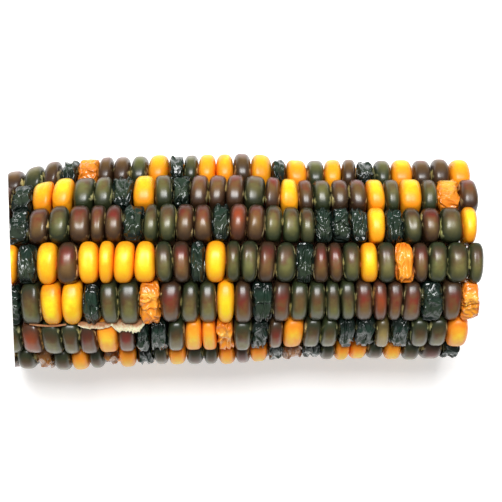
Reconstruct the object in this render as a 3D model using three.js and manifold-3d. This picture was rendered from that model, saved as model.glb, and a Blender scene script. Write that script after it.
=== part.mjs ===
// A length of a dry, multi-coloured ear of maize lying on its side, in millimetres, +Z up.
// X runs along the ear, from the knife cut at the stalk end (-X) to the snapped end (+X).
// Sixteen rows of kernels stand round a woody core, with papery chaff in one of the grooves.

import * as THREE from 'three';
import { mergeVertices } from 'three/addons/utils/BufferGeometryUtils.js';
import Module from 'manifold-3d';

const wasm = await Module();
wasm.setup();

// Driving dimensions
const CROWN_RADIUS = 24; // centreline to the kernels' crowns at the ear's thickest
const CORE_RADIUS = 13.5; // the woody core, at the same place
const GAP = 0.35; // between a row and its neighbours, and between a row and the core
const ROOT_RADIUS = CORE_RADIUS + GAP; // where a row's kernels start

// The ear is thickest on the stalk side of its middle, and slimmer towards both ends
const THICK_FROM = -40;
const THICK_TO = -3;
const STALK_TAPER = { length: 13, amount: 1.2 };
const TIP_TAPER = { length: 15, amount: 1 };
const BOW = 2.4; // how far the stalk end bends to -Y
const BOW_LENGTH = 50;
const TWIST = THREE.MathUtils.degToRad(5); // how far the rows turn towards +Y over the same length
const LOWEST_ROWS_LEAN = THREE.MathUtils.degToRad(10.6); // the two rows underneath, from straight down

// The knife cut crosses the centreline here, and leans up and to -Y
const CUT_X = -55.2;
const CUT_LEAN_UP = THREE.MathUtils.degToRad(10.7);
const CUT_LEAN_SIDE = THREE.MathUtils.degToRad(4.3);
const KNIFE_SIZE = 90;

// A kernel's section across its row: where its sides end, and where its crown turns over
const SHOULDER_RADIUS = 20.2;
const CROWN_EDGE = { radius: 22.9, width: 0.66 };
const VALLEY_DEPTH = 2.3; // the dip of the crown between two kernels of one row
const VALLEY_PINCH = 0.1; // the share of the row's width that the same dip takes away
const WRINKLED_DROP = 0.5; // a dried-out, wrinkled kernel stands lower than a plump one

// The core runs past the cut before it is trimmed, and stops short of the end kernels
const CORE_START = -64;
const CORE_END = 46;
const CORE_STEPS = 24;
const CORE_SIDES = 24;
const CORE_END_ROUND = 1.2;

// A kernel is an ordinary one, a broad one (+) or a slim one (-)
const BREADTH = { '+': 1.18, '-': 0.84 };
const WRINKLED = 'bot';

// The rows in turn, from the upper far side over the top, down the near side and up again:
// how many degrees the row leans from straight up towards -Y, where it starts and ends along X,
// and its kernels from the stalk end to the tip end.
// d olive, m maroon, r burnt orange, y yellow and p pale olive are plump.
// b black, o orange and t tan are wrinkled.
const ROWS = [
  { lean: -57, from: -55.5, to: 48.3, kernels: 'm+d+mbo+m-mdy+b-d-yymy+b-y+dym-bdy+mmy+' },
  { lean: -33, from: -56.1, to: 48.6, kernels: 'mb+y+y+d+db+y+dbmmmd+m-ym-dmmyd-y+d-o+m' },
  { lean: -11, from: -55.8, to: 47.7, kernels: 'mb+m+d+m+m-mb+d-dmmbrmddd-bbbybdmd+y-' },
  { lean: 12, from: -53.4, to: 48.8, kernels: 'yb+y+m+y+y-y+y+dmb-y+d-dmd+bm-m-dydom-dd+d-' },
  { lean: 36.5, from: -53.6, to: 48.3, kernels: 'b+d+y+y+bdd+o+m+ddymb+mddd-d-mr-m-mb+mo' },
  { lean: 62, from: -54.2, to: 46.8, kernels: 'd+r+d+dmy+mb-bdyy-odbm-y+ddbb+p-b+ddy+' },
  { lean: 87, from: -56.3, to: 46.2, kernels: 'md+tdyd-t-ybd-ydd-ym-yb-t+bd-y-ydydm+b' },
  { lean: 108.5, from: -56.0, to: 46.6, kernels: 'mdy+bmm+ydd-btmyy-dm+dbrm-yddy+mbd-' },
  { lean: 129, from: -57.5, to: 47.3, kernels: 'dym+db-omdy+ym-db+dmyd-d+tmybdm-y+dm' },
  { lean: 149.4, from: -59.5, to: 46.9, kernels: 'bmd+ymd-y+bmdydm+b-odmy-yd+mbdymd-y+' },
  { lean: 169.4, from: -60.5, to: 47.5, kernels: 'ydmb+dy-mdtd+ymdbm+yy-dmdb-dy+mrdmy-' },
  { lean: 190.6, from: -61.5, to: 46.8, kernels: 'm+bdydm-y+dmbd-ym+do-mdyb+dmy-dm+ybdd' },
  { lean: 212, from: -61.5, to: 47.6, kernels: 'dmy+mbd-myd+p-mybdm+dy-dtmd+ymb-dymd+' },
  { lean: 234, from: -60.5, to: 46.7, kernels: 'yb+mdd-ym+bydmr-dy+mdb-md+ydmby+d-mdb' },
  { lean: 256, from: -59.0, to: 47.4, kernels: 'md+yb-mdy+mod-myd+bdm-yy+mdbdm+dy-tdm' },
  { lean: 277.5, from: -57.5, to: 48.0, kernels: 'dy+mbdm-dym+bdy-mdb+ydmd-omy+dbmd-y+m' },
];

// Chaff flakes stand in the groove below a row: along X, and from inner to outer radius
const FLAKES = [
  { below: 5, from: -46.5, to: -40.5, inner: 21.4, outer: 22.6 },
  { below: 5, from: -36.5, to: -30.5, inner: 21.4, outer: 23.2 },
  { below: 5, from: -29.9, to: -23.5, inner: 21.4, outer: 23.6 },
];
const FLAKE_THICKNESS = 0.5;

// Each kernel's colour, which a row's own material averages
const KERNEL_COLOURS = {
  d: '#4e4e3a',
  m: '#75503a',
  r: '#bf7033',
  y: '#ffd23c',
  p: '#93804d',
  b: '#3a4438',
  o: '#f0973a',
  t: '#a37542',
};
const KERNEL_ROUGHNESS = 0.3;

function radiusScale(x) {
  const stalk = THREE.MathUtils.smoothstep(THICK_FROM - x, 0, STALK_TAPER.length);
  const tip = THREE.MathUtils.smoothstep(x - THICK_TO, 0, TIP_TAPER.length);
  return 1 - (STALK_TAPER.amount * stalk + TIP_TAPER.amount * tip) / CROWN_RADIUS;
}

// The rows wind a little round the ear towards its stalk end
function twist(x) {
  return -TWIST * (Math.min(x, 0) / BOW_LENGTH) ** 2;
}

// The centreline bows to -Y at the stalk end, and keeps the lowest row on the ground
function centreline(x) {
  const sideways = -BOW * (Math.min(x, 0) / BOW_LENGTH) ** 2;
  const height = CROWN_RADIUS * radiusScale(x) * Math.cos(LOWEST_ROWS_LEAN + twist(x));
  return new THREE.Vector3(0, sideways, height);
}

function rowAngle(number) {
  return THREE.MathUtils.degToRad(ROWS[number - 1].lean);
}

// Half the angle from a row to the next one round the ear
function halfAngleAfter(number) {
  const next = number === ROWS.length ? rowAngle(1) + 2 * Math.PI : rowAngle(number + 1);
  return (next - rowAngle(number)) / 2;
}

// From the middle of a row to its side at a radius, leaving half the gap to its neighbour
function sideAt(radius, halfAngle) {
  return radius * Math.tan(halfAngle) - GAP / 2;
}

// A row's kernels, each as its letter and mark
function kernelsOf(row) {
  return row.kernels.match(/[a-z][+-]?/g);
}

// The X of every kernel's start, middle and end, so that even stations are valleys
function kernelStations(row) {
  const breadths = kernelsOf(row).map((kernel) => BREADTH[kernel[1]] ?? 1);
  const total = breadths.reduce((sum, breadth) => sum + breadth, 0);
  const unit = (row.to - row.from) / total;
  const stations = [row.from];
  let x = row.from;
  for (const breadth of breadths) {
    stations.push(x + (breadth * unit) / 2);
    x += breadth * unit;
    stations.push(x);
  }
  return stations;
}

// A row's section: x across it, towards the row before, and y outward from the centreline
function rowOutline(number) {
  const before = halfAngleAfter(number === 1 ? ROWS.length : number - 1);
  const after = halfAngleAfter(number);
  const outline = new THREE.Shape();
  outline.moveTo(-sideAt(ROOT_RADIUS, after), ROOT_RADIUS);
  outline.lineTo(sideAt(ROOT_RADIUS, before), ROOT_RADIUS);
  outline.lineTo(sideAt(SHOULDER_RADIUS, before), SHOULDER_RADIUS);
  outline.lineTo(CROWN_EDGE.width * sideAt(CROWN_EDGE.radius, before), CROWN_EDGE.radius);
  outline.lineTo(0, CROWN_RADIUS);
  outline.lineTo(-CROWN_EDGE.width * sideAt(CROWN_EDGE.radius, after), CROWN_EDGE.radius);
  outline.lineTo(-sideAt(SHOULDER_RADIUS, after), SHOULDER_RADIUS);
  outline.closePath();
  return outline;
}

// One row as a single body, with its own outward direction along +Z
function rowGeometry(number) {
  const row = ROWS[number - 1];
  const angle = rowAngle(number);
  const stations = kernelStations(row);
  const kernels = kernelsOf(row);
  const steps = stations.length - 1;
  const geometry = new THREE.ExtrudeGeometry(rowOutline(number), { depth: steps, steps, bevelEnabled: false });
  const position = geometry.getAttribute('position');
  for (let i = 0; i < position.count; i += 1) {
    const station = Math.round(position.getZ(i));
    const across = position.getX(i);
    const outward = position.getY(i);
    const isValley = station % 2 === 0;
    const kernel = kernels[Math.floor(Math.min(station, steps - 1) / 2)];
    const drop = WRINKLED.includes(kernel[0]) ? WRINKLED_DROP : 0;
    const height = (outward - ROOT_RADIUS) / (CROWN_RADIUS - ROOT_RADIUS);
    const dip = (isValley ? VALLEY_DEPTH : drop) * height;
    const pinch = isValley ? VALLEY_PINCH * height : 0;
    const x = stations[station];
    const scale = radiusScale(x);
    const point = new THREE.Vector3(0, across * (1 - pinch) * scale, (outward - dip) * scale);
    point.applyAxisAngle(new THREE.Vector3(1, 0, 0), twist(x));
    const centre = centreline(x).applyAxisAngle(new THREE.Vector3(1, 0, 0), -angle);
    position.setXYZ(i, x, point.y + centre.y, point.z + centre.z);
  }
  return geometry;
}

function coreGeometry() {
  const profile = [new THREE.Vector2(0, CORE_START)];
  for (let i = 0; i <= CORE_STEPS; i += 1) {
    const x = THREE.MathUtils.lerp(CORE_START, CORE_END - CORE_END_ROUND, i / CORE_STEPS);
    profile.push(new THREE.Vector2(CORE_RADIUS * radiusScale(x), x));
  }
  const endRadius = CORE_RADIUS * radiusScale(CORE_END) - CORE_END_ROUND;
  profile.push(new THREE.Vector2(endRadius, CORE_END));
  profile.push(new THREE.Vector2(0, CORE_END));
  const geometry = new THREE.LatheGeometry(profile, CORE_SIDES);
  geometry.rotateZ(-Math.PI / 2);
  const position = geometry.getAttribute('position');
  for (let i = 0; i < position.count; i += 1) {
    const centre = centreline(position.getX(i));
    position.setY(i, position.getY(i) + centre.y);
    position.setZ(i, position.getZ(i) + centre.z);
  }
  return geometry;
}

function toSolid(geometry) {
  geometry.deleteAttribute('normal');
  geometry.deleteAttribute('uv');
  const merged = mergeVertices(geometry);
  const vertProperties = new Float32Array(merged.getAttribute('position').array);
  const triVerts = new Uint32Array(merged.index.array);
  return new wasm.Manifold(new wasm.Mesh({ numProp: 3, vertProperties, triVerts }));
}

function toGeometry(solid) {
  const { vertProperties, triVerts } = solid.getMesh();
  const geometry = new THREE.BufferGeometry();
  geometry.setAttribute('position', new THREE.BufferAttribute(vertProperties, 3));
  geometry.setIndex(new THREE.BufferAttribute(triVerts, 1));
  geometry.computeVertexNormals();
  return geometry;
}

// The waste beyond the knife cut, as a block whose +X face is the cut
function knifeBlock() {
  const block = new THREE.BoxGeometry(KNIFE_SIZE, KNIFE_SIZE, KNIFE_SIZE);
  block.translate(-KNIFE_SIZE / 2, 0, 0);
  block.rotateY(CUT_LEAN_UP);
  block.rotateZ(CUT_LEAN_SIDE);
  const centre = centreline(CUT_X);
  block.translate(CUT_X, centre.y, centre.z);
  return block;
}

// A piece turned about X by its angle, with the knife's waste taken off its stalk end
function cutPiece(geometry, angle) {
  const knife = knifeBlock().applyMatrix4(new THREE.Matrix4().makeRotationX(-angle));
  return toGeometry(toSolid(geometry).subtract(toSolid(knife)));
}

function kernelRow(row, number) {
  const angle = rowAngle(number);
  const letters = kernelsOf(row).map((kernel) => kernel[0]);
  const colour = new THREE.Color(0, 0, 0);
  for (const letter of letters) {
    colour.add(new THREE.Color(KERNEL_COLOURS[letter]).multiplyScalar(1 / letters.length));
  }
  const material = new THREE.MeshStandardMaterial({ color: colour, roughness: KERNEL_ROUGHNESS });
  const mesh = new THREE.Mesh(cutPiece(rowGeometry(number), angle), material);
  mesh.name = `kernel_row_${String(number).padStart(2, '0')}`;
  mesh.rotation.x = angle;
  return mesh;
}

function cobCore() {
  const material = new THREE.MeshStandardMaterial({ color: '#b98f5f', roughness: 0.85 });
  const mesh = new THREE.Mesh(cutPiece(coreGeometry(), 0), material);
  mesh.name = 'cob_core';
  return mesh;
}

// A flake stands on edge in the middle of its groove
function chaffFlake(flake, number) {
  const middle = (flake.from + flake.to) / 2;
  const angle = rowAngle(flake.below) + halfAngleAfter(flake.below) + twist(middle);
  const scale = radiusScale(middle);
  const size = [flake.to - flake.from, FLAKE_THICKNESS, flake.outer - flake.inner];
  const material = new THREE.MeshStandardMaterial({ color: '#d9cfa8', roughness: 0.9 });
  const mesh = new THREE.Mesh(new THREE.BoxGeometry(...size), material);
  const outward = new THREE.Vector3(0, 0, ((flake.inner + flake.outer) / 2) * scale);
  mesh.name = `chaff_flake_${number}`;
  mesh.rotation.x = angle;
  mesh.position.copy(outward.applyAxisAngle(new THREE.Vector3(1, 0, 0), angle).add(centreline(middle)));
  mesh.position.x = middle;
  return mesh;
}

const ear = new THREE.Group();
ear.add(cobCore());
ROWS.forEach((row, index) => ear.add(kernelRow(row, index + 1)));
FLAKES.forEach((flake, index) => ear.add(chaffFlake(flake, index + 1)));

// The origin is under the middle of the ear's box
const box = new THREE.Box3().setFromObject(ear, true);
const middle = box.getCenter(new THREE.Vector3());
ear.position.set(-middle.x, -middle.y, -box.min.z);

const cornCob = new THREE.Group();
cornCob.add(ear);
export default cornCob;
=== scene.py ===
"""A length of a dry, multi-coloured ear of corn on a white table, in metres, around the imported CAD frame.

Every kernel is a closed piece of its own, joined with the others of its row into one object that stands
for the row's CAD solid. A kernel is made in its row's local terms: along the ear, across the row, outward
from the centreline.
"""

import math
import random
import re

import bmesh
import bpy
import numpy as np
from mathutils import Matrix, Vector, noise


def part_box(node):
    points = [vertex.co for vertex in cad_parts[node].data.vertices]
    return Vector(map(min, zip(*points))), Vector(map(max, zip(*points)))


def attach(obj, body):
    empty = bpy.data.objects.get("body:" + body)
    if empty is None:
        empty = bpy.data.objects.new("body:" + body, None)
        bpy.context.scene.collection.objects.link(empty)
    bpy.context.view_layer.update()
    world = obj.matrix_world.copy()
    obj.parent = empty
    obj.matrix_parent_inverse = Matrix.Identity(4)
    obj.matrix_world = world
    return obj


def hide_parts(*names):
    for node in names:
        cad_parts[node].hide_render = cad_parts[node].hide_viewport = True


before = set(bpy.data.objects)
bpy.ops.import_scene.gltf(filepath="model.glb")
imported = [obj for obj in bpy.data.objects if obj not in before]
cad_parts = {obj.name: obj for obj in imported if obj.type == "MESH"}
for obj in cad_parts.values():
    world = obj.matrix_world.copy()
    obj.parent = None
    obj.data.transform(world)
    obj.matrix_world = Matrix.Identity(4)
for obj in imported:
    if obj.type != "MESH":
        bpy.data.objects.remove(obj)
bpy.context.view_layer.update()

MM = 0.001

# The ear's driving dimensions, as in the CAD model
CROWN_RADIUS = 24 * MM
CORE_RADIUS = 13.5 * MM
THICK_FROM = -40 * MM
THICK_TO = -3 * MM
STALK_TAPER = (13 * MM, 1.2 * MM)
TIP_TAPER = (15 * MM, 1 * MM)
BOW = 2.4 * MM
BOW_LENGTH = 50 * MM
TWIST = math.radians(5)
LOWEST_ROWS_LEAN = math.radians(10.6)
CUT_X = -55.2 * MM
CUT_LEAN_UP = math.radians(10.7)
CUT_LEAN_SIDE = math.radians(4.3)
BREADTH = {"+": 1.18, "-": 0.84}

# How many degrees each row leans from straight up towards -Y, where it starts and ends along X in
# millimetres, and its kernels from the stalk end to the tip end:
# d olive, m maroon, r burnt orange, y yellow, p pale olive; b black, o orange and t tan are wrinkled;
# + is a broad kernel and - a slim one
ROWS = [
    (-57, -55.5, 48.3, "m+d+mbo+m-mdy+b-d-yymy+b-y+dym-bdy+mmy+"),
    (-33, -56.1, 48.6, "mb+y+y+d+db+y+dbmmmd+m-ym-dmmyd-y+d-o+m"),
    (-11, -55.8, 47.7, "mb+m+d+m+m-mb+d-dmmbrmddd-bbbybdmd+y-"),
    (12, -53.4, 48.8, "yb+y+m+y+y-y+y+dmb-y+d-dmd+bm-m-dydom-dd+d-"),
    (36.5, -53.6, 48.3, "b+d+y+y+bdd+o+m+ddymb+mddd-d-mr-m-mb+mo"),
    (62, -54.2, 46.8, "d+r+d+dmy+mb-bdyy-odbm-y+ddbb+p-b+ddy+"),
    (87, -56.3, 46.2, "md+tdyd-t-ybd-ydd-ym-yb-t+bd-y-ydydm+b"),
    (108.5, -56.0, 46.6, "mdy+bmm+ydd-btmyy-dm+dbrm-yddy+mbd-"),
    (129, -57.5, 47.3, "dym+db-omdy+ym-db+dmyd-d+tmybdm-y+dm"),
    (149.4, -59.5, 46.9, "bmd+ymd-y+bmdydm+b-odmy-yd+mbdymd-y+"),
    (169.4, -60.5, 47.5, "ydmb+dy-mdtd+ymdbm+yy-dmdb-dy+mrdmy-"),
    (190.6, -61.5, 46.8, "m+bdydm-y+dmbd-ym+do-mdyb+dmy-dm+ybdd"),
    (212, -61.5, 47.6, "dmy+mbd-myd+p-mybdm+dy-dtmd+ymb-dymd+"),
    (234, -60.5, 46.7, "yb+mdd-ym+bydmr-dy+mdb-md+ydmby+d-mdb"),
    (256, -59.0, 47.4, "md+yb-mdy+mod-myd+bdm-yy+mdbdm+dy-tdm"),
    (277.5, -57.5, 48.0, "dy+mbdm-dym+bdy-mdb+ydmd-omy+dbmd-y+m"),
]

# A kernel's own shape. A power says how boxy an outline is: 2 is an ellipse, and more is squarer.
SHOULDER_RADIUS = 21.2 * MM  # where a kernel is widest, and its crown starts to turn over
ROOT_RADIUS = 13.7 * MM
ROOT_SLIMMING = 0.3
SIDE_BOXINESS = 5.0
ROOT_BOXINESS = 4.0
CLEARANCE = 0.995
CROWN_FALL = 0.45  # how much of its crown's height a kernel loses towards its neighbouring rows
ROW_WANDER = 0.28 * MM
ROW_WANDER_LENGTH = 9 * MM
MOST_SKEW = 0.07  # how far the line between two kernels slants along the ear, per unit across it
MOST_LEAN = 0.05  # how far a crown leans across its row, per unit outward
GERM_DENT = 0.3 * MM
LUMP_HEIGHT = 0.09 * MM
LUMP_SIZE = 3.4 * MM
FOLD_HEIGHT = 0.15 * MM
FOLD_DEPTH = 0.75 * MM
# A dried kernel's folds run across its row or along the ear: their size along, across and outward in mm
FOLDS_ACROSS = (1.6, 4.2, 2.8)
FOLDS_ALONG = (3.4, 1.8, 2.8)
FOLDS_ACROSS_SHARE = 0.55
BROAD_RIDGE = 0.18
FINE_RIDGE = 0.14
FINE_RIDGE_SHARE = 0.14
ROOT_FROM = -0.6  # from here down, on a scale of 0 at the shoulder to -1 at the root, a kernel has no relief
HEART_DEPTH = 2 * MM  # how far below the shoulder the point is that lumps and folds move away from
TIP_SPREAD = 0.75 * MM
TIP_SPREAD_FROM = 30 * MM
TIP_SPREAD_LENGTH = 18 * MM
SMOOTH_GRID = 11  # cells along each edge of the cube that a kernel's mesh starts from
WRINKLED_GRID = 25
TOP_DENSITY = 1.25  # above 1, the mesh is denser on the crown than at the root
WRINKLED = "bot"
WARM = "yot"

# What differs from kernel to kernel, as the least and the most; a dried one sinks, squares up and hollows
LIFT = (-0.22 * MM, 0.18 * MM)
BOXINESS = (2.7, 3.7)
DOME = (2.5, 3.1)
DIMPLE = (0.1 * MM, 0.22 * MM)
DRIED_SINKING = (0.1 * MM, 0.5 * MM)
DRIED_BOXINESS = (3.6, 5.5)
DRIED_DOME = (3.0, 4.2)
DRIED_DIMPLE = (0.3 * MM, 0.9 * MM)
# How much higher or lower than the rest some rows' kernels stand
ROW_LIFT = {1: 0.9 * MM, 7: 0.3 * MM, 8: -1.0 * MM, 11: -0.3 * MM, 12: -0.3 * MM, 16: -1.9 * MM}

random.seed(1871)
noise.seed_set(1871)


# ---------------------------------------------------------------- the ear's shape


def smoothstep(value, end):
    """0 up to 0, 1 from end on, and a smooth rise between."""
    share = min(max(value / end, 0.0), 1.0)
    return share * share * (3 - 2 * share)


def radius_scale(x):
    """How thick the ear is at x, from its stated driving dimensions, as a share of its thickest."""
    stalk = smoothstep(THICK_FROM - x, STALK_TAPER[0])
    tip = smoothstep(x - THICK_TO, TIP_TAPER[0])
    return 1 - (STALK_TAPER[1] * stalk + TIP_TAPER[1] * tip) / CROWN_RADIUS


def twist(x):
    """How far the rows have wound round the ear at x."""
    return -TWIST * (min(x, 0.0) / BOW_LENGTH) ** 2


def centreline(x):
    """How far the ear's middle is to the side and off the ground at x, so that the lowest rows touch it."""
    sideways = -BOW * (min(x, 0.0) / BOW_LENGTH) ** 2
    height = CROWN_RADIUS * radius_scale(x) * math.cos(LOWEST_ROWS_LEAN + twist(x))
    return sideways, height


# The CAD model's origin is under the middle of its box: these are where the ear's own origin lies in it
ear_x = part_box("kernel_row_04")[1][0] - ROWS[3][2] * MM
ear_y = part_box("cob_core")[1][1] - CORE_RADIUS


def row_angle(number):
    """How far a row leans from straight up; the numbers run on past the last row and before the first."""
    turns, index = divmod(number - 1, len(ROWS))
    return math.radians(ROWS[index][0] + 360 * turns)


def half_angle_after(number):
    """Half the angle between a row and the next one."""
    return (row_angle(number + 1) - row_angle(number)) / 2


def to_world(along, across, outward, angle):
    """Arrays in a row's local terms to an array of points in the row frame."""
    points = np.empty((len(along), 3))
    for i, x in enumerate(along):
        side, height = centreline(x)
        scale = radius_scale(x)
        turn = angle + twist(x)
        t = across[i] * scale
        r = outward[i] * scale
        points[i, 0] = x + ear_x
        points[i, 1] = side + t * math.cos(turn) - r * math.sin(turn) + ear_y
        points[i, 2] = height + t * math.sin(turn) + r * math.cos(turn)
    return points


# ---------------------------------------------------------------- one kernel


def unit_ball(cells):
    """A sphere of quads made from a cube's faces, denser towards its top."""
    index = {}
    points = []
    quads = []
    steps = [math.tan(math.pi / 4 * (2 * i / cells - 1)) for i in range(cells + 1)]
    for axis in range(3):
        for sign in (-1, 1):
            rows = []
            for u in steps:
                row = []
                for v in steps:
                    point = [0.0, 0.0, 0.0]
                    point[axis] = sign
                    point[(axis + 1) % 3] = u
                    point[(axis + 2) % 3] = v
                    key = tuple(round(c, 6) for c in point)
                    if key not in index:
                        index[key] = len(points)
                        points.append(point)
                    row.append(index[key])
                rows.append(row)
            for i in range(cells):
                for j in range(cells):
                    quad = [rows[i][j], rows[i + 1][j], rows[i + 1][j + 1], rows[i][j + 1]]
                    quads.append(quad if sign > 0 else quad[::-1])
    points = np.array(points)
    points /= np.linalg.norm(points, axis=1)[:, None]
    polar = math.pi * (np.arccos(np.clip(points[:, 2], -1, 1)) / math.pi) ** TOP_DENSITY
    spin = np.arctan2(points[:, 1], points[:, 0])
    points = np.stack([np.sin(polar) * np.cos(spin), np.sin(polar) * np.sin(spin), np.cos(polar)], axis=1)
    return points, quads


BALLS = {SMOOTH_GRID: unit_ball(SMOOTH_GRID), WRINKLED_GRID: unit_ball(WRINKLED_GRID)}


def wander(x, boundary):
    """How far the line between two rows strays across, at x: both rows share it."""
    return ROW_WANDER * noise.noise(Vector((x / ROW_WANDER_LENGTH, boundary % len(ROWS) * 7.3, 2.1)))


def wrinkle_depth(point, seed):
    """How far a dried kernel's skin has sunk at a point, 0 to 1: folds stand up as sharp ridges."""
    size = FOLDS_ACROSS if seed < FOLDS_ACROSS_SHARE else FOLDS_ALONG
    place = Vector([value / MM / length for value, length in zip(point, size)])
    place = place + Vector((seed * 91, seed * 37, seed * 13))
    place = place + noise.noise_vector(place * 0.6) * 0.7
    broad = math.exp(-((noise.noise(place) / BROAD_RIDGE) ** 2))
    fine = math.exp(-((noise.noise(place * 1.9 + Vector((5, 1, 8))) / FINE_RIDGE) ** 2))
    return 1 - (1 - FINE_RIDGE_SHARE) * broad - FINE_RIDGE_SHARE * fine


class Kernel:
    """One grain: its kind, its row, and the lines that it shares with its neighbours."""

    def __init__(self, kind, row, start, end, start_skew, end_skew):
        self.kind = kind
        self.row = row
        self.start = start
        self.end = end
        self.start_skew = start_skew
        self.end_skew = end_skew
        self.seed = random.random()
        self.lift = random.uniform(*LIFT) + ROW_LIFT.get(row, 0)
        self.boxiness = random.uniform(*BOXINESS)
        self.dome = random.uniform(*DOME)
        self.lean = random.uniform(-MOST_LEAN, MOST_LEAN)
        self.dimple = random.choice((0, 0, 0, 1)) * random.uniform(*DIMPLE)
        if kind in WRINKLED:
            self.lift -= random.uniform(*DRIED_SINKING)
            self.boxiness = random.uniform(*DRIED_BOXINESS)
            self.dome = random.uniform(*DRIED_DOME)
            self.dimple = random.uniform(*DRIED_DIMPLE)

    def local_points(self, ball):
        """Along, across and outward for each point of the ball, and its place on a box from -1 to 1."""
        middle = (self.start + self.end) / 2
        upper = SHOULDER_RADIUS * math.tan(half_angle_after(self.row - 1)) + wander(middle, self.row - 1)
        lower = -SHOULDER_RADIUS * math.tan(half_angle_after(self.row)) + wander(middle, self.row)
        half_width = (upper - lower) / 2 * CLEARANCE
        centre = (upper + lower) / 2
        crown = CROWN_RADIUS + self.lift - SHOULDER_RADIUS
        x, y, z = ball.T
        boxiness = self.boxiness + ROOT_BOXINESS * np.sqrt(np.maximum(-z, 0))
        outline = (np.abs(x) ** boxiness + np.abs(y) ** boxiness) ** (1 / boxiness)
        power = np.where(z >= 0, self.dome, SIDE_BOXINESS)
        reach = (outline**power + np.abs(z) ** power) ** (-1 / power)
        x, y, z = x * reach, y * reach, z * reach
        below = np.minimum(z, 0)
        rise = crown * z * (1 - CROWN_FALL * y**2)
        outward = SHOULDER_RADIUS + np.where(z >= 0, rise, (SHOULDER_RADIUS - ROOT_RADIUS) * z)
        wedge = np.where(z >= 0, 1, outward / SHOULDER_RADIUS)
        across = centre + half_width * y * wedge + self.lean * (outward - SHOULDER_RADIUS) * (z > 0)
        start = self.start + self.start_skew * across
        end = self.end + self.end_skew * across
        along = (start + end) / 2 + (end - start) / 2 * CLEARANCE * x * (1 + ROOT_SLIMMING * below)
        along = along - GERM_DENT * self.germ(x, y, z)
        outward = outward - self.dimple * np.exp(-((x / 0.45) ** 2 + (y / 0.4) ** 2)) * (z > 0)
        return along, across, outward, x, y, z

    def germ(self, x, y, z):
        """1 in the pale oval hollow over the germ, which faces the tip of the ear, and 0 outside it."""
        oval = (y / 0.62) ** 2 + ((z + 0.42) / 0.5) ** 2
        return np.where(x > 0.4, np.clip(1.6 - 1.6 * oval, 0, 1), 0)

    def rim(self, x, y, z):
        """0 on top of the crown, 1 where the kernel is widest, and more down its sides."""
        outline = (np.abs(x) ** self.boxiness + np.abs(y) ** self.boxiness) ** (1 / self.boxiness)
        return np.where(z >= 0, outline, 1 - z)

    def relief(self, along, across, outward, z):
        """Moves the points in or out from the kernel's heart: lumps on a plump one, folds on a dried one."""
        middle = (self.start + self.end) / 2
        heart = np.array([middle, 0.0, SHOULDER_RADIUS - HEART_DEPTH])
        points = np.stack([along, across, outward], axis=1)
        away = points - heart
        away /= np.linalg.norm(away, axis=1)[:, None]
        for i, point in enumerate(points):
            if z[i] < ROOT_FROM:
                continue
            if self.kind in WRINKLED:
                share = 0.3 + 0.7 * smoothstep(z[i] + 0.1, 0.5)
                depth = share * (FOLD_HEIGHT - FOLD_DEPTH * wrinkle_depth(point, self.seed))
            else:
                place = Vector(point) / LUMP_SIZE + Vector((self.seed * 50, 3, 7))
                depth = LUMP_HEIGHT * noise.noise(place)
            points[i] += away[i] * depth
        return points.T


def tip_spread(x):
    """Where a line between two kernels lies once the loose kernels at the tip end have spread."""
    return x + TIP_SPREAD * smoothstep(x - TIP_SPREAD_FROM, TIP_SPREAD_LENGTH)


def kernels_of(number):
    """The kernels of one row, from its line in ROWS."""
    start, end, tokens = ROWS[number - 1][1:]
    tokens = re.findall("[a-z][+-]?", tokens)
    breadths = [BREADTH.get(token[1:], 1) for token in tokens]
    unit = (end - start) * MM / sum(breadths)
    edge = start * MM
    skew = 0.0
    kernels = []
    for token, breadth in zip(tokens, breadths):
        next_skew = random.uniform(-MOST_SKEW, MOST_SKEW)
        next_edge = edge + breadth * unit
        kernels.append(Kernel(token[0], number, tip_spread(edge), tip_spread(next_edge), skew, next_skew))
        edge = next_edge
        skew = next_skew
    return kernels


# ---------------------------------------------------------------- colours


def srgb(red, green, blue):
    """A colour as a display shows it, 0 to 255, as the linear numbers that shaders use."""
    shown = (red / 255, green / 255, blue / 255)
    return tuple(((c + 0.055) / 1.055) ** 2.4 if c > 0.04045 else c / 12.92 for c in shown)


# For each kind: the crown's colour towards the row before and towards the row after, its rim, and its sides
# down in the crevices, whose pale tone also paints thin glints of light near the shoulder; g is a
# deeper, darker gold, painted shade on the yellow kernels of the rows on the ear's lower side, away from the
# lamp
TONES = {
    "d": (srgb(102, 68, 40), srgb(116, 112, 62), srgb(48, 54, 32), srgb(232, 226, 160)),
    "m": (srgb(126, 44, 30), srgb(122, 92, 50), srgb(64, 44, 28), srgb(230, 210, 150)),
    "r": (srgb(166, 70, 34), srgb(142, 80, 42), srgb(78, 46, 30), srgb(230, 176, 106)),
    "p": (srgb(176, 154, 94), srgb(166, 146, 90), srgb(84, 74, 42), srgb(224, 204, 144)),
    "y": (srgb(254, 236, 46), srgb(254, 204, 30), srgb(252, 156, 22), srgb(244, 128, 26)),
    "g": (srgb(255, 208, 60), srgb(254, 176, 42), srgb(246, 142, 30), srgb(240, 130, 40)),
    "b": (srgb(32, 52, 41), srgb(50, 62, 47), srgb(20, 32, 26), srgb(90, 88, 60)),
    "o": (srgb(255, 186, 70), srgb(252, 160, 46), srgb(240, 134, 34), srgb(236, 140, 60)),
    "t": (srgb(184, 128, 66), srgb(160, 104, 50), srgb(126, 78, 38), srgb(180, 140, 90)),
}
# rows on the ear's lower side, away from the lamp, whose yellow kernels take the darker gold g as painted
# shade
PAINTED_SHADE_GOLD_ROWS = (6, 7, 8)
DARK_SHARE = 0.93  # the dark kinds are toned down to this much of the colours above


def varied(colour, share):
    """A share of a colour, a little lighter or darker and a little off in hue."""
    light = share * random.uniform(0.84, 1.16)
    return tuple(min(c * light * random.uniform(0.94, 1.06), 1) for c in colour)


# ---------------------------------------------------------------- materials


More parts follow.
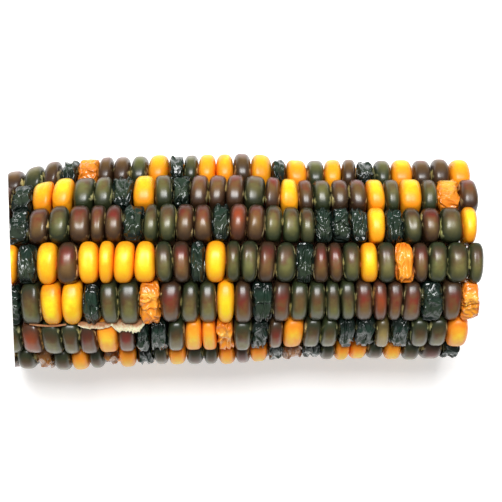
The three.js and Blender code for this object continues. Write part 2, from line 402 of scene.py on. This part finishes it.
class Nodes:
    """A short way to write one material's nodes."""

    def __init__(self, name):
        self.material = bpy.data.materials.new(name)
        self.material.use_nodes = True
        self.tree = self.material.node_tree
        self.shader = self.tree.nodes["Principled BSDF"]

    def add(self, kind, **inputs):
        node = self.tree.nodes.new(kind)
        for key, value in inputs.items():
            if hasattr(node, key) and key not in node.inputs:
                setattr(node, key, value)
            else:
                self.feed(node.inputs[key], value)
        return node

    def feed(self, socket, value):
        if isinstance(value, bpy.types.NodeSocket):
            self.tree.links.new(value, socket)
        else:
            socket.default_value = value

    def attribute(self, name, output="Color"):
        return self.add("ShaderNodeAttribute", attribute_name=name).outputs[output]

    def noise(self, scale, detail=3.0, roughness=0.5):
        place = self.add("ShaderNodeTexCoord").outputs["Object"]
        node = self.add("ShaderNodeTexNoise", Vector=place, Scale=scale, Detail=detail, Roughness=roughness)
        return node.outputs["Fac"]

    def ramp(self, value, low, high, to_low=0.0, to_high=1.0, curve="LINEAR"):
        node = self.add("ShaderNodeMapRange", Value=value, interpolation_type=curve)
        node.inputs["From Min"].default_value = low
        node.inputs["From Max"].default_value = high
        node.inputs["To Min"].default_value = to_low
        node.inputs["To Max"].default_value = to_high
        return node.outputs["Result"]

    def maths(self, operation, a, b):
        node = self.add("ShaderNodeMath", operation=operation)
        self.feed(node.inputs[0], a)
        self.feed(node.inputs[1], b)
        return node.outputs["Value"]

    def mix(self, share, a, b):
        node = self.add("ShaderNodeMix", data_type="RGBA")
        self.feed(node.inputs[0], share)
        self.feed(node.inputs[6], a)
        self.feed(node.inputs[7], b)
        return node.outputs[2]

    def bump(self, height, strength, distance):
        node = self.add("ShaderNodeBump", Height=height, Strength=strength, Distance=distance)
        self.tree.links.new(node.outputs["Normal"], self.shader.inputs["Normal"])

    def set(self, **values):
        for key, value in values.items():
            self.feed(self.shader.inputs[key.replace("_", " ")], value)


def kernel_skin(name, roughness, coat, subsurface, rim, creased=False):
    """A kernel's skin: two tones blend across it, to a third at its rim and a pale one down its sides.
    Thin broken lines of the pale tone just inside its shoulder are painted glints of light on its skin.

    rim is where the blend to the rim's tone starts, from 0 on top of the crown to 1 at the shoulder.
    """
    n = Nodes(name)
    crown, edge, rim_tone, side = (n.attribute(key) for key in TONE_NAMES)
    across = n.attribute("across", "Fac")
    depth = n.attribute("rim", "Fac")
    blotch = n.noise(420, 4, 0.6)
    lean = n.maths("ADD", across, n.ramp(blotch, 0.3, 0.7, -0.5, 0.5))
    colour = n.mix(n.ramp(lean, -0.35, 0.55, 1, 0), crown, edge)
    ragged = n.maths("ADD", depth, n.ramp(n.noise(900, 3, 0.6), 0.3, 0.7, -0.06, 0.06))
    colour = n.mix(n.ramp(ragged, rim, 0.88), colour, rim_tone)
    # painted glints: thin, broken lines of the pale side tone near the shoulder, between neighbours in a
    # row, stand in for light catching the translucent skin
    painted_glint = n.maths("MULTIPLY", n.ramp(ragged, 0.92, 0.96), n.ramp(n.noise(420, 2, 0.5), 0.49, 0.56))
    painted_glint = n.maths("MULTIPLY", painted_glint, n.ramp(n.maths("ABSOLUTE", across, 0.0), 0.6, 0.85, 1, 0))
    painted_glint = n.maths("MULTIPLY", painted_glint, n.ramp(depth, 1.02, 1.1, 1, 0))
    colour = n.mix(painted_glint, colour, side)
    colour = n.mix(n.ramp(ragged, 1.3, 1.9), colour, side)
    colour = n.mix(n.attribute("germ", "Fac"), colour, n.mix(0.35, side, edge))
    n.set(Base_Color=colour, Roughness=n.ramp(blotch, 0.3, 0.7, roughness - 0.04, roughness + 0.06))
    n.set(Coat_Weight=coat, Coat_Roughness=0.15 if creased else 0.28, IOR=1.45, Specular_IOR_Level=0.32)
    n.set(Subsurface_Weight=subsurface, Subsurface_Scale=1.5 * MM, Subsurface_Radius=(1.0, 0.5, 0.15))
    if creased:
        fold = n.maths("ABSOLUTE", n.maths("SUBTRACT", n.noise(230, 1, 0.4), 0.5), 0.0)
        n.bump(n.ramp(fold, 0.0, 0.08, 1, 0, "SMOOTHSTEP"), 0.8, 0.35 * MM)
    else:
        n.bump(n.noise(1700, 4, 0.6), 0.1, 0.2 * MM)
    return n.material


def cut_grain():
    """A sliced kernel: dark skin, amber horny starch, and white floury starch in the middle."""
    n = Nodes("kernel_cut_starch")
    depth = n.maths("ADD", n.attribute("cut", "Fac"), n.ramp(n.noise(700, 4, 0.6), 0.3, 0.7, -0.14, 0.14))
    skin = n.mix(0.5, n.attribute("rim_tone"), (0.05, 0.03, 0.02, 1))
    horny = n.mix(n.ramp(n.noise(300, 2, 0.5), 0.35, 0.65), (0.4, 0.2, 0.05, 1), (0.5, 0.3, 0.1, 1))
    colour = n.mix(n.ramp(depth, 0.12, 0.3), skin, horny)
    colour = n.mix(n.ramp(depth, 0.7, 1.0), colour, (0.6, 0.52, 0.37, 1))
    n.set(Base_Color=colour, Roughness=n.ramp(depth, 0.3, 0.9, 0.35, 0.75))
    n.set(Subsurface_Weight=0.15, Subsurface_Scale=1 * MM)
    n.bump(n.noise(2400, 4, 0.7), 0.3, 0.2 * MM)
    return n.material


TONE_NAMES = ("crown_tone", "edge_tone", "rim_tone", "side_tone")
MATERIALS = {
    "dark": kernel_skin("kernel_dark_skin", roughness=0.36, coat=0.55, subsurface=0.05, rim=0.3),
    "yellow": kernel_skin("kernel_yellow_skin", roughness=0.4, coat=0.2, subsurface=0.25, rim=0.35),
    "wrinkled_dark": kernel_skin(
        "kernel_dried_dark_skin", roughness=0.2, coat=0.6, subsurface=0.0, rim=0.7, creased=True
    ),
    "wrinkled_warm": kernel_skin(
        "kernel_dried_warm_skin", roughness=0.25, coat=0.5, subsurface=0.25, rim=0.6, creased=True
    ),
    "cut": cut_grain(),
}
KIND_MATERIAL = {
    "d": "dark",
    "m": "dark",
    "r": "dark",
    "p": "dark",
    "y": "yellow",
    "b": "wrinkled_dark",
    "o": "wrinkled_warm",
    "t": "wrinkled_warm",
}


# ---------------------------------------------------------------- rows of kernels


CUT_POINT = Vector((ear_x + CUT_X, ear_y + centreline(CUT_X)[0], centreline(CUT_X)[1]))
CUT_NORMAL = Vector(
    (
        -math.cos(CUT_LEAN_UP) * math.cos(CUT_LEAN_SIDE),
        -math.cos(CUT_LEAN_UP) * math.sin(CUT_LEAN_SIDE),
        math.sin(CUT_LEAN_UP),
    )
)
CUT_RINGS = ((0.92, 0.25), (0.66, 0.8), (0.4, 1.0))  # each ring's size, and how deep in the grain it is
SMALLEST_CUT = 4 * MM * MM


def slice_kernels(mesh):
    """Cuts a row at the knife's plane, and closes each kernel with a face that has a rim and a middle."""
    bm = bmesh.new()
    bm.from_mesh(mesh)
    depth = bm.verts.layers.float.new("cut")
    everything = bm.verts[:] + bm.edges[:] + bm.faces[:]
    sliced = bmesh.ops.bisect_plane(
        bm, geom=everything, dist=1e-7, plane_co=CUT_POINT, plane_no=CUT_NORMAL, clear_outer=True
    )
    edges = [piece for piece in sliced["geom_cut"] if isinstance(piece, bmesh.types.BMEdge)]
    caps = bmesh.ops.edgeloop_fill(bm, edges=edges, mat_nr=list(MATERIALS).index("cut"))["faces"]
    caps = [face for face in caps if face.calc_area() > SMALLEST_CUT]
    size = 1.0
    for ring_size, level in CUT_RINGS:
        caps = bmesh.ops.extrude_discrete_faces(bm, faces=caps)["faces"]
        for face in caps:
            middle = face.calc_center_median()
            for vert in face.verts:
                vert.co = middle.lerp(vert.co, ring_size / size)
                vert[depth] = level
        size = ring_size
    bm.to_mesh(mesh)
    bm.free()


def row_mesh(name, points, faces, slots, tones, places):
    """A mesh with a material for each face, and each point's tones and place on its kernel as attributes."""
    mesh = bpy.data.meshes.new(name)
    mesh.from_pydata(np.concatenate(points).tolist(), [], faces)
    mesh.polygons.foreach_set("material_index", slots)
    mesh.polygons.foreach_set("use_smooth", [True] * len(faces))
    for key, values in tones.items():
        layer = mesh.attributes.new(key, "FLOAT_COLOR", "POINT")
        layer.data.foreach_set("color", np.concatenate(values).astype(np.float32).ravel())
    for key, values in places.items():
        layer = mesh.attributes.new(key, "FLOAT", "POINT")
        layer.data.foreach_set("value", np.concatenate(values).astype(np.float32))
    for material in MATERIALS.values():
        mesh.materials.append(material)
    return mesh


def build_row(number):
    """One row of separate kernels, cut at the knife's plane, in place of the row's CAD solid."""
    points, faces, slots = [], [], []
    tones = {key: [] for key in TONE_NAMES}
    places = {"across": [], "rim": [], "germ": []}
    material_names = list(MATERIALS)
    total = 0
    for kernel in kernels_of(number):
        ball, quads = BALLS[WRINKLED_GRID if kernel.kind in WRINKLED else SMOOTH_GRID]
        along, across, outward, x, y, z = kernel.local_points(ball)
        along, across, outward = kernel.relief(along, across, outward, z)
        points.append(to_world(along, across, outward, row_angle(number)))
        faces.extend([[i + total for i in quad] for quad in quads])
        slots.extend([material_names.index(KIND_MATERIAL[kernel.kind])] * len(quads))
        total += len(ball)
        share = 1 if kernel.kind in WARM else DARK_SHARE
        # yellow kernels in the rows on the ear's lower side, away from the lamp, take the darker gold g as
        # painted shade
        tone = "g" if kernel.kind == "y" and number in PAINTED_SHADE_GOLD_ROWS else kernel.kind
        for key, colour in zip(tones, TONES[tone]):
            tones[key].append(np.tile((*varied(colour, share), 1.0), (len(ball), 1)))
        places["across"].append(y)
        places["rim"].append(kernel.rim(x, y, z))
        places["germ"].append(kernel.germ(x, y, z))
    name = f"row_{number:02d}_kernels"
    mesh = row_mesh(name, points, faces, slots, tones, places)
    slice_kernels(mesh)
    row = bpy.data.objects.new(name, mesh)
    bpy.context.collection.objects.link(row)
    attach(row, "root")
    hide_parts(f"kernel_row_{number:02d}")


for number in range(1, len(ROWS) + 1):
    build_row(number)


# ---------------------------------------------------------------- the cob and its chaff

CORE_END = 46 * MM  # the cob stops short of the last kernels
CORE_SIDES = 128
CAP_RINGS = 20
SIDE_RINGS = 60
CORE_INSET = 0.15 * MM  # the soft cob stands this much behind the cut kernels
PITH_SHARE = 0.36
WOOD_SHARE = 0.74
KNOB_HEIGHT = 0.25 * MM
KNOB_LENGTH = 2.2 * MM
PITH_SUNK = 2.2 * MM  # how far the dry pith has sunk at the broken end
TEAR_SIZE = 1.1 * MM


def new_piece(name, points, faces, values, material):
    """A smooth-shaded object on the ear's one body, with its faces turned outward."""
    mesh = bpy.data.meshes.new(name)
    mesh.from_pydata([tuple(point) for point in points], [], faces)
    for key, numbers in values.items():
        layer = mesh.attributes.new(key, "FLOAT", "POINT")
        layer.data.foreach_set("value", numbers)
    bm = bmesh.new()
    bm.from_mesh(mesh)
    bmesh.ops.recalc_face_normals(bm, faces=bm.faces)
    bm.to_mesh(mesh)
    bm.free()
    mesh.polygons.foreach_set("use_smooth", [True] * len(faces))
    mesh.materials.append(material)
    piece = bpy.data.objects.new(name, mesh)
    bpy.context.collection.objects.link(piece)
    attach(piece, "root")
    return piece


def cob_material():
    """Cream pith, a tan woody ring and a reddish chaffy rind, by how far out a point is."""
    n = Nodes("cob_wood")
    out = n.maths("ADD", n.attribute("radial", "Fac"), n.ramp(n.noise(500, 4, 0.6), 0.3, 0.7, -0.05, 0.05))
    grain = n.noise(1400, 4, 0.7)
    pith = n.mix(n.ramp(grain, 0.35, 0.65), (0.5, 0.4, 0.26, 1), (0.72, 0.64, 0.48, 1))
    wood = n.mix(n.ramp(grain, 0.35, 0.6), (0.24, 0.13, 0.06, 1), (0.5, 0.34, 0.18, 1))
    rind = n.mix(n.ramp(grain, 0.4, 0.6), (0.1, 0.03, 0.015, 1), (0.3, 0.13, 0.07, 1))
    colour = n.mix(n.ramp(out, PITH_SHARE - 0.03, PITH_SHARE + 0.03), pith, wood)
    colour = n.mix(n.ramp(out, WOOD_SHARE - 0.04, WOOD_SHARE + 0.04), colour, rind)
    n.set(Base_Color=colour, Roughness=0.85)
    n.bump(grain, 0.5, 0.4 * MM)
    return n.material


def build_core():
    """The cob: a flat cut face, a knobbly side that the kernels hide, and a torn, sunken tip end."""
    columns = [2 * math.pi * i / CORE_SIDES for i in range(CORE_SIDES)]
    side, height = centreline(CUT_X)
    rings = []
    radial = []

    def cut_x(y, z):
        lean = (CUT_NORMAL.y * (y - side) + CUT_NORMAL.z * (z - height)) / -CUT_NORMAL.x
        return CUT_X + lean + CORE_INSET

    def ring(share, place):
        rings.append([place(turn, share * CORE_RADIUS) for turn in columns])
        radial.append(share)

    def on_cut(turn, radius):
        y = radius * radius_scale(CUT_X) * math.sin(turn) + side
        z = radius * radius_scale(CUT_X) * math.cos(turn) + height
        return Vector((cut_x(y, z) + ear_x, y + ear_y, z))

    def on_side(turn, radius, x_share):
        start = on_cut(turn, radius).x - ear_x
        x = start + (CORE_END - start) * x_share
        middle = centreline(x)
        knobs = Vector((x / KNOB_LENGTH, turn * 5, 3))
        r = radius * radius_scale(x) + KNOB_HEIGHT * noise.noise(knobs)
        return Vector((x + ear_x, r * math.sin(turn) + middle[0] + ear_y, r * math.cos(turn) + middle[1]))

    def on_tip(turn, radius):
        point = on_side(turn, radius, 1.0)
        share = radius / CORE_RADIUS
        torn = noise.noise(Vector((point.y, point.z, 0)) / TEAR_SIZE)
        splinters = noise.noise(Vector((turn * 9, share * 3, 5)))
        sunk = PITH_SUNK * (1 - smoothstep(share - PITH_SHARE + 0.1, 0.2))
        rough = 0.9 if PITH_SHARE < share < WOOD_SHARE + 0.08 else 0.45
        point.x -= sunk + rough * MM * (0.6 - torn * 0.7 - splinters * 0.7)
        return point

    shares = [(i / CAP_RINGS) ** 0.85 for i in range(1, CAP_RINGS + 1)]
    for share in shares:
        ring(share, on_cut)
    for i in range(1, SIDE_RINGS):
        ring(1.0, lambda turn, radius, x_share=i / SIDE_RINGS: on_side(turn, radius, x_share))
    for share in reversed(shares):
        ring(share, on_tip)
    points = [on_cut(0, 0)] + [point for one in rings for point in one] + [on_tip(0, 0)]
    values = [0.0] + [value for value in radial for _ in columns] + [0.0]
    faces = []
    last = len(points) - 1
    for i in range(CORE_SIDES):
        j = (i + 1) % CORE_SIDES
        faces.append((0, 1 + i, 1 + j))
        for k in range(len(rings) - 1):
            base = 1 + k * CORE_SIDES
            faces.append((base + i, base + CORE_SIDES + i, base + CORE_SIDES + j, base + j))
        base = 1 + (len(rings) - 1) * CORE_SIDES
        faces.append((base + i, last, base + j))
    core = new_piece("cob_wood", points, faces, {"radial": values}, cob_material())
    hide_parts("cob_core")


def chaff_material():
    """Papery glume: translucent tan at its root, cream and fibrous at its torn edge."""
    n = Nodes("chaff_paper")
    tear = n.maths("ADD", n.attribute("tear", "Fac"), n.ramp(n.noise(600, 4, 0.7), 0.3, 0.7, -0.25, 0.25))
    colour = n.mix(n.ramp(tear, 0.3, 0.75), (0.36, 0.15, 0.06, 1), (0.86, 0.82, 0.56, 1))
    fibres = n.noise(2200, 3, 0.6)
    colour = n.mix(n.ramp(fibres, 0.3, 0.7, 0, 0.35), colour, (0.3, 0.17, 0.07, 1))
    n.set(Base_Color=colour, Roughness=0.7, Subsurface_Weight=0.2, Subsurface_Scale=0.5 * MM)
    n.bump(fibres, 0.4, 0.2 * MM)
    return n.material


# The chaff below row 5: its CAD node, where it starts and ends along X, its edge's distance from the
# centreline, how high it rises, how far it reaches over row 6 and how ragged its edge is, all in
# millimetres, and how pale it is
CHAFF = [
    ("chaff_flake_1", -47.5, -39.5, 22.6, 0.4, 0.15, 0.05, 0.3),
    ("chaff_flake_2", -37.0, -29.5, 22.9, 1.4, 0.7, 0.3, 0.7),
    ("chaff_flake_3", -30.0, -22.8, 23.1, 2.5, 1.4, 0.9, 1.0),
]
CHAFF_COLUMNS = 90
CHAFF_ROWS = 10
CHAFF_THICKNESS = 0.12 * MM
SAG = 0.35 * MM


def build_chaff(node, start, end, edge, rise, reach, ragged, paleness, material):
    """A strip that rises out of the groove and curls over the kernels below it."""
    angle = row_angle(5) + half_angle_after(5)
    along, across, outward, tear = [], [], [], []
    for i in range(CHAFF_COLUMNS + 1):
        share = i / CHAFF_COLUMNS
        x = (start + (end - start) * share) * MM
        taper = min(1, 6 * share, 6 * (1 - share))
        notches = noise.noise(Vector((x / (0.9 * MM), 1.7, 0)))
        fringe = noise.noise(Vector((x / (0.35 * MM), 4, 0)))
        width = (reach + ragged * (notches + 0.6 * fringe)) * taper * MM
        wave = 0.25 * MM * noise.noise(Vector((x / (3 * MM), 9, 2)))
        for j in range(CHAFF_ROWS + 1):
            out = j / CHAFF_ROWS
            along.append(x)
            across.append(0.5 * MM - SAG * math.sin(share * math.pi) - max(width, 0.1 * MM) * out**1.3)
            outward.append((edge - rise + rise * math.sin(out * math.pi / 2) ** 0.8) * MM + wave * out)
            tear.append(out * paleness)
    points = to_world(along, across, outward, angle)
    stride = CHAFF_ROWS + 1
    faces = [
        (i * stride + j, (i + 1) * stride + j, (i + 1) * stride + j + 1, i * stride + j + 1)
        for i in range(CHAFF_COLUMNS)
        for j in range(CHAFF_ROWS)
    ]
    piece = new_piece(node.replace("flake", "glume"), points, faces, {"tear": tear}, material)
    thick = piece.modifiers.new("thickness", "SOLIDIFY")
    thick.thickness = CHAFF_THICKNESS
    thick.offset = 0
    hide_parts(node)


build_core()
paper = chaff_material()
for flake in CHAFF:
    build_chaff(*flake, paper)


# ---------------------------------------------------------------- floor, light and camera


FLOOR_SIZE = 6
FLOOR_GLOW = 0.5  # keeps the floor's shadow as soft and pale as on a lit white table


def build_floor():
    bpy.ops.mesh.primitive_plane_add(size=FLOOR_SIZE)
    floor = bpy.context.object
    floor.name = "floor"
    n = Nodes("floor_white")
    n.set(Base_Color=(0.8, 0.8, 0.8, 1), Roughness=0.9, Specular_IOR_Level=0.0)
    n.set(Emission_Color=(1, 1, 1, 1), Emission_Strength=FLOOR_GLOW)
    floor.data.materials.append(n.material)


VIEW_ELEVATION = math.radians(78.75)
VIEW_DISTANCE = 264 * MM
VIEW_RISE = 1.85 * MM  # how far above the ear's middle, as the picture shows it, the camera aims
LENS = 82.1
SENSOR = 36.0


def build_camera():
    """The camera looks down on the ear from the near side, square to its length."""
    back = Vector((0, -math.cos(VIEW_ELEVATION), math.sin(VIEW_ELEVATION)))
    up = Vector((0, math.sin(VIEW_ELEVATION), math.cos(VIEW_ELEVATION)))
    side, height = centreline(0.0)
    target = Vector((ear_x, ear_y + side, height)) + up * VIEW_RISE
    camera = bpy.data.objects.new("camera", bpy.data.cameras.new("camera"))
    bpy.context.collection.objects.link(camera)
    camera.data.lens = LENS
    camera.data.sensor_width = SENSOR
    camera.data.clip_start = 0.01
    camera.location = target + back * VIEW_DISTANCE
    camera.rotation_mode = "QUATERNION"
    camera.rotation_quaternion = (-back).to_track_quat("-Z", "Y")
    bpy.context.scene.camera = camera


KEY_DIRECTION = Vector((0.0, 0.2, 0.98)).normalized()
KEY_DISTANCE = 0.6
KEY_SIZE = (0.24, 0.27)
KEY_POWER = 4.25
WORLD_STRENGTH = 0.22


def build_lights():
    """One soft lamp almost overhead, a little to the far side, in an evenly pale room."""
    key = bpy.data.objects.new("key", bpy.data.lights.new("key", "AREA"))
    bpy.context.collection.objects.link(key)
    key.data.shape = "RECTANGLE"
    key.data.size, key.data.size_y = KEY_SIZE
    key.data.energy = KEY_POWER
    key.location = Vector((0, 0, CROWN_RADIUS)) + KEY_DIRECTION * KEY_DISTANCE
    key.rotation_mode = "QUATERNION"
    key.rotation_quaternion = KEY_DIRECTION.to_track_quat("Z", "Y")
    world = bpy.data.worlds.new("studio")
    bpy.context.scene.world = world
    world.use_nodes = True
    background = world.node_tree.nodes["Background"]
    background.inputs["Color"].default_value = (1, 1, 1, 1)
    background.inputs["Strength"].default_value = WORLD_STRENGTH
    bpy.context.scene.view_settings.view_transform = "Standard"


build_floor()
build_camera()
build_lights()
